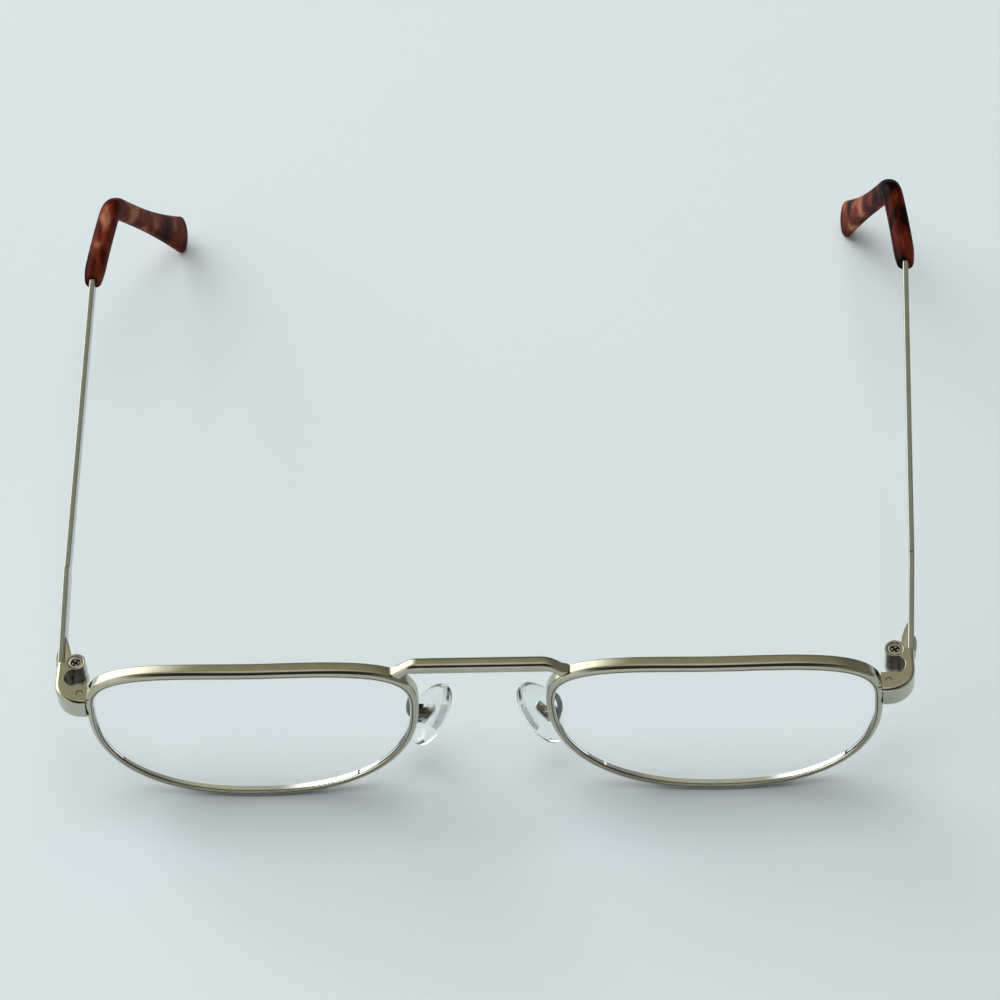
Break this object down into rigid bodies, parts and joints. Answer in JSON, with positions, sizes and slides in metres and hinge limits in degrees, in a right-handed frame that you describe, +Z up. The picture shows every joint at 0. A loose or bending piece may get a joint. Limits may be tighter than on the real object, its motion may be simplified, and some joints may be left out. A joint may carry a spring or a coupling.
{
  "type": "reading glasses",
  "caption": "Half-eye metal reading glasses with flat-topped lenses, a straight bridge, nose pads and folding temples with tortoiseshell tips.",
  "frame": {"origin": "on the table under the middle of the open glasses, half way across the face and half way front to back", "axes": "+X towards the wearer's left, -Y the way the wearer looks, so that the front faces -Y, and +Z up from the table that the rims and tips stand on"},
  "size_m": [0.1444, 0.14, 0.0327],
  "materials": {
    "frame_metal": "satin",
    "temple_metal": "satin",
    "screw_steel": "polished",
    "lens": "gloss",
    "pad": "satin",
    "tortoise_plastic": "gloss"
  },
  "bodies": {
    "front": {"bridge": "frame_metal", "left_rim": "frame_metal", "left_lens": "lens", "left_end_piece": "frame_metal", "left_closing_block": "frame_metal", "left_lock_screw": "screw_steel", "left_hinge_screw": "screw_steel", "left_pad_arm": "frame_metal", "left_pad_box": "frame_metal", "left_pad_screw": "screw_steel", "right_rim": "frame_metal", "right_lens": "lens", "right_end_piece": "frame_metal", "right_closing_block": "frame_metal", "right_lock_screw": "screw_steel", "right_hinge_screw": "screw_steel", "right_pad_arm": "frame_metal", "right_pad_box": "frame_metal", "right_pad_screw": "screw_steel"},
    "left_temple": {"left_temple": "temple_metal", "left_temple_hinge": "frame_metal", "left_tip": "tortoise_plastic"},
    "left_pad": {"left_nose_pad": "pad", "left_pad_insert": "screw_steel"},
    "right_temple": {"right_temple": "temple_metal", "right_temple_hinge": "frame_metal", "right_tip": "tortoise_plastic"},
    "right_pad": {"right_nose_pad": "pad", "right_pad_insert": "screw_steel"}
  },
  "joints": [
    {"name": "left_temple_fold", "type": "hinge", "parent": "front", "child": "left_temple", "pos_m": [0.0652, -0.05996, 0.02046], "axis": [0, -0.1043, 0.9945], "range_deg": [0, 90]},
    {"name": "right_temple_fold", "type": "hinge", "parent": "front", "child": "right_temple", "pos_m": [-0.0652, -0.05996, 0.02046], "axis": [0, 0.1043, -0.9945], "range_deg": [0, 82]},
    {"name": "left_pad_rock", "type": "hinge", "parent": "front", "child": "left_pad", "pos_m": [0.0107, -0.06312, 0.01233], "axis": [0.3584, 0.9064, 0.2238], "range_deg": [-8, 8]},
    {"name": "right_pad_rock", "type": "hinge", "parent": "front", "child": "right_pad", "pos_m": [-0.0107, -0.06312, 0.01233], "axis": [-0.3584, 0.9064, 0.2238], "range_deg": [-8, 8]}
  ]
}
